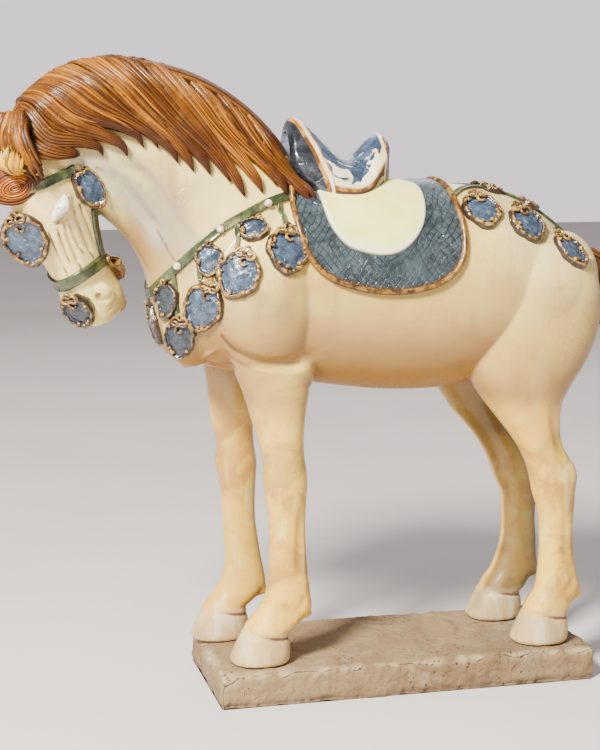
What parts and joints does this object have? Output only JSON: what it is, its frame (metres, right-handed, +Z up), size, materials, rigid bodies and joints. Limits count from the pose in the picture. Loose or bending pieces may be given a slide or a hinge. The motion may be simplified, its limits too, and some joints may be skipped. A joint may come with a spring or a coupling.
{
  "type": "glazed horse figure",
  "caption": "Glazed earthenware horse with bent head, combed mane, saddle, cloth and pendants, standing on a slab plinth.",
  "frame": {"origin": "centre of the plinth's underside", "axes": "+Z up, the horse looks along -X, its left side is towards -Y"},
  "size_m": [0.5687, 0.1624, 0.5603],
  "materials": {
    "cream_glaze": "glossy glaze",
    "bare_clay": "rough unglazed clay"
  },
  "bodies": {
    "root": {"horse": "cream_glaze", "plinth": "bare_clay"}
  },
  "joints": []
}
